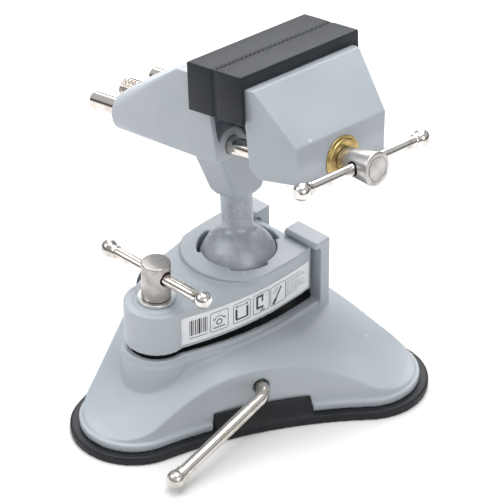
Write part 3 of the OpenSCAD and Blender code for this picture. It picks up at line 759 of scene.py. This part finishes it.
def mark_shapes(length):
    """Strokes of the label's generic pictograms: (points, width) in mm along and up the label."""
    def arc(x, y, r, start, end, steps=14):
        return [(x + r * math.cos(math.radians(a)), y + r * math.sin(math.radians(a)))
                for a in np.linspace(start, end, steps)]

    def arrow(tip, back, size=0.9):
        tip, back = Vector(tip), Vector(back)
        along = (back - tip).normalized() * size
        across = Vector((-along.y, along.x)) * 0.6
        return [tuple(tip + along + across), tuple(tip), tuple(tip + along - across)]

    def frame_box(x0, x1, y0, y1, r=1.0):
        return (arc(x1 - r, y1 - r, r, 90, 0, 5) + arc(x1 - r, y0 + r, r, 0, -90, 5)
                + arc(x0 + r, y0 + r, r, 270, 180, 5) + arc(x0 + r, y1 - r, r, 180, 90, 5)
                + [(x1 - r, y1)])

    strokes = []
    # upright stripes of several widths
    for i, width in enumerate((0.3, 0.7, 0.3, 0.5, 0.3, 0.9, 0.3, 0.4, 0.6, 0.3)):
        x = length * 0.06 + i * 0.92
        strokes.append(([(x, 3.8), (x, 11.2)], width))
    strokes.append(([(length * 0.06, 2.3), (length * 0.06 + 8.2, 2.3)], 0.35))
    # four framed boxes
    boxes = [length * f for f in (0.2, 0.365, 0.515, 0.655)]
    wide = length * 0.135
    for x in boxes:
        strokes.append((frame_box(x, x + wide - 0.6, 2.0, 11.8), 0.28))
    # first box: a ball that swivels
    x, y = boxes[0] + wide / 2 - 0.3, 6.3
    strokes.append((arc(x, y, 1.3, 0, 360, 20), 0.5))
    strokes.append((arc(x, y, 3.0, 25, 155), 0.3))
    strokes.append((arrow(arc(x, y, 3.0, 155, 155, 1)[0], (x - 2.2, y + 2.6)), 0.3))
    strokes.append((arrow(arc(x, y, 3.0, 25, 25, 1)[0], (x + 2.2, y + 2.6)), 0.3))
    strokes.append(([(x - 2.8, y - 2.6), (x + 2.8, y - 2.6)], 0.5))
    # second box: how far the jaws reach
    x = boxes[1] + wide / 2 - 0.3
    strokes.append(([(x - 3.2, 10.2), (x + 3.2, 10.2)], 0.28))
    strokes.append((arrow((x - 3.3, 10.2), (x, 10.2)), 0.28))
    strokes.append((arrow((x + 3.3, 10.2), (x, 10.2)), 0.28))
    for side in (-1, 1):
        strokes.append(([(x + side * 2.9, 4.0), (x + side * 2.9, 8.6)], 1.1))
    strokes.append(([(x - 2.9, 3.6), (x + 2.9, 3.6)], 0.8))
    # third box: a clamp
    x = boxes[2] + wide / 2 - 0.6
    strokes.append(([(x + 1.2, 10.4), (x - 2.0, 10.4), (x - 2.0, 4.6), (x + 1.2, 4.6)], 1.1))
    strokes.append(([(x + 0.9, 9.6), (x + 0.9, 7.6)], 0.9))
    strokes.append(([(x + 0.9, 4.8), (x + 0.9, 2.8)], 0.5))
    strokes.append(([(x - 0.4, 2.8), (x + 2.2, 2.8)], 0.5))
    # fourth box: a tool with strokes beside it
    x = boxes[3] + 0.8
    strokes.append(([(x + 1.4, 3.6), (x + 5.4, 9.8)], 0.9))
    strokes.append(([(x + 0.9, 2.9), (x + 2.0, 4.5)], 1.5))
    for i in range(3):
        strokes.append(([(x + 0.2 + i * 0.9, 8.2 - i * 0.3), (x + 2.4 + i * 0.9, 11.0 - i * 0.3)], 0.16))
    # lines of print, as plain dashes
    for row, share in enumerate((0.72, 0.9, 1.0, 0.64, 0.94, 0.8, 0.98, 0.5)):
        left, right = length * 0.785, length * (0.785 + 0.185 * share)
        y = 11.6 - row * 1.2
        pieces = 3 + row % 3
        step = (right - left) / pieces
        for i in range(pieces):
            strokes.append(([(left + i * step, y), (left + (i + 0.82) * step, y)], 0.24))
    return strokes


def label():
    obj = copy_of("label_sheet", "label")
    shade(obj, 30)
    dress(obj, STICKER, "plate", "label", "label")
    low, high = span("label")
    plate = span("clamp_plate")[1][0]
    sheet, lift = 0.25, 0.05
    centre, radius = plate_arc(plate, plate - 10)
    start, end = (math.asin((y - ARC_Y) / radius) for y in (low[1], high[1]))
    length = (end - start) * radius
    verts, faces = [], []

    def wall(u, v):
        """The point just off the sheet that is u along it and v up it."""
        angle = start + u / radius
        return (centre + sheet + (radius + lift) * math.cos(angle),
                ARC_Y + (radius + lift) * math.sin(angle), low[2] + v)

    for points, width in mark_shapes(length):
        for a, b in zip(points, points[1:]):
            a, b = Vector(a), Vector(b)
            if (b - a).length < 1e-3:
                continue
            along = (b - a).normalized()
            across = Vector((-along.y, along.x)) * width / 2
            a, b = a - along * width * 0.3, b + along * width * 0.3
            steps = max(1, round((b - a).length / 1.5))
            for i in range(steps):
                p, q = a.lerp(b, i / steps), a.lerp(b, (i + 1) / steps)
                first = len(verts)
                verts.extend(wall(*c) for c in (p - across, q - across, q + across, p + across))
                faces.append(range(first, first + 4))
    marks = new_object("label_print", verts, faces)
    return dress(marks, INK, "plate", "label")


# ---- everything ----

base_casting()
clamp_plate()
fixed_jaw()
moving_jaw()
ball_stem()
guide_rods()
jaw_handle()
clamp_handle()
lead_screw()
clamp_screw()
clamp_washer()
brass_washer()
vacuum_lever()
jaw_pad("rear_pad", "rear_jaw_pad", "head", -1)
jaw_pad("front_pad", "front_jaw_pad", "jaw", 1)
suction_pad()
label()
for inner, finish in (("pull_stud", PLAIN_STEEL), ("cam", PLAIN_STEEL), ("cam_pin", PLAIN_STEEL),
                      ("ball_seat", NYLON), ("retaining_clip", PLAIN_STEEL)):
    dress_node(inner, finish)


# ---- studio ----

def studio():
    """A pale floor, soft lights, and a camera at the usual three-quarter view."""
    # in metres, so the floor's place undoes new_object's scale
    size = 3.0
    floor = new_object("floor", [(-size, -size, 0), (size, -size, 0), (size, size, 0), (-size, size, 0)],
                       [(0, 1, 2, 3)], Matrix.Scale(1 / MM, 4))
    floor.data.materials.append(material("floor_white", (0.86, 0.86, 0.86), 0.9, Specular_IOR_Level=0.2))

    world = bpy.data.worlds.new("studio")
    bpy.context.scene.world = world
    world.use_nodes = True
    tree = world.node_tree
    background = tree.nodes["Background"]
    direction = tree.nodes.new("ShaderNodeTexCoord")
    parts = tree.nodes.new("ShaderNodeSeparateXYZ")
    tree.links.new(direction.outputs["Generated"], parts.inputs[0])
    rise = tree.nodes.new("ShaderNodeValToRGB")
    # how bright the sky is from the horizon up
    stops = [(0.0, 0.35), (0.05, 0.08), (0.2, 0.16), (0.32, 0.9), (0.6, 1.0), (1.0, 0.8)]
    while len(rise.color_ramp.elements) < len(stops):
        rise.color_ramp.elements.new(0.5)
    for element, (position, value) in zip(rise.color_ramp.elements, stops):
        element.position = position
        element.color = (value, value, value, 1)
    tree.links.new(parts.outputs["Z"], rise.inputs[0])
    tree.links.new(rise.outputs[0], background.inputs["Color"])
    background.inputs["Strength"].default_value = 0.6

    middle = Vector((0, 0, 0.06))
    # each lamp's name, place in metres, power in watts and side in metres
    lamps = (("key", (-0.7, -0.9, 1.2), 5, 0.7), ("fill", (1.3, -0.4, 0.8), 4, 0.8),
             ("top", (0.0, 0.1, 1.5), 15, 1.0), ("back", (-0.8, 0.9, 0.9), 14, 1.1))
    for name, spot, power, side in lamps:
        lamp = bpy.data.lights.new(name, "AREA")
        lamp.energy = power
        lamp.size = side
        holder = bpy.data.objects.new(name, lamp)
        holder.location = spot
        holder.rotation_euler = (middle - Vector(spot)).to_track_quat("-Z", "Y").to_euler()
        bpy.context.scene.collection.objects.link(holder)

    turn, tip = math.radians(43.3), math.radians(34.8)
    distance, aim_right, aim_up = 1.6, 0.0048, 0.0043
    backward = Vector((math.sin(turn) * math.cos(tip), -math.cos(turn) * math.cos(tip), math.sin(tip)))
    right = Vector((math.cos(turn), math.sin(turn), 0))
    upward = backward.cross(right)
    target = Vector(JOINTS["head_turn"]["pos_m"]) + right * aim_right + upward * aim_up
    camera = bpy.data.cameras.new("camera")
    camera.sensor_width = 36
    camera.lens = 266.8
    holder = bpy.data.objects.new("camera", camera)
    holder.location = target + backward * distance
    holder.rotation_euler = (-backward).to_track_quat("-Z", "Y").to_euler()
    bpy.context.scene.collection.objects.link(holder)
    bpy.context.scene.camera = holder
    bpy.context.scene.view_settings.view_transform = "Standard"


studio()
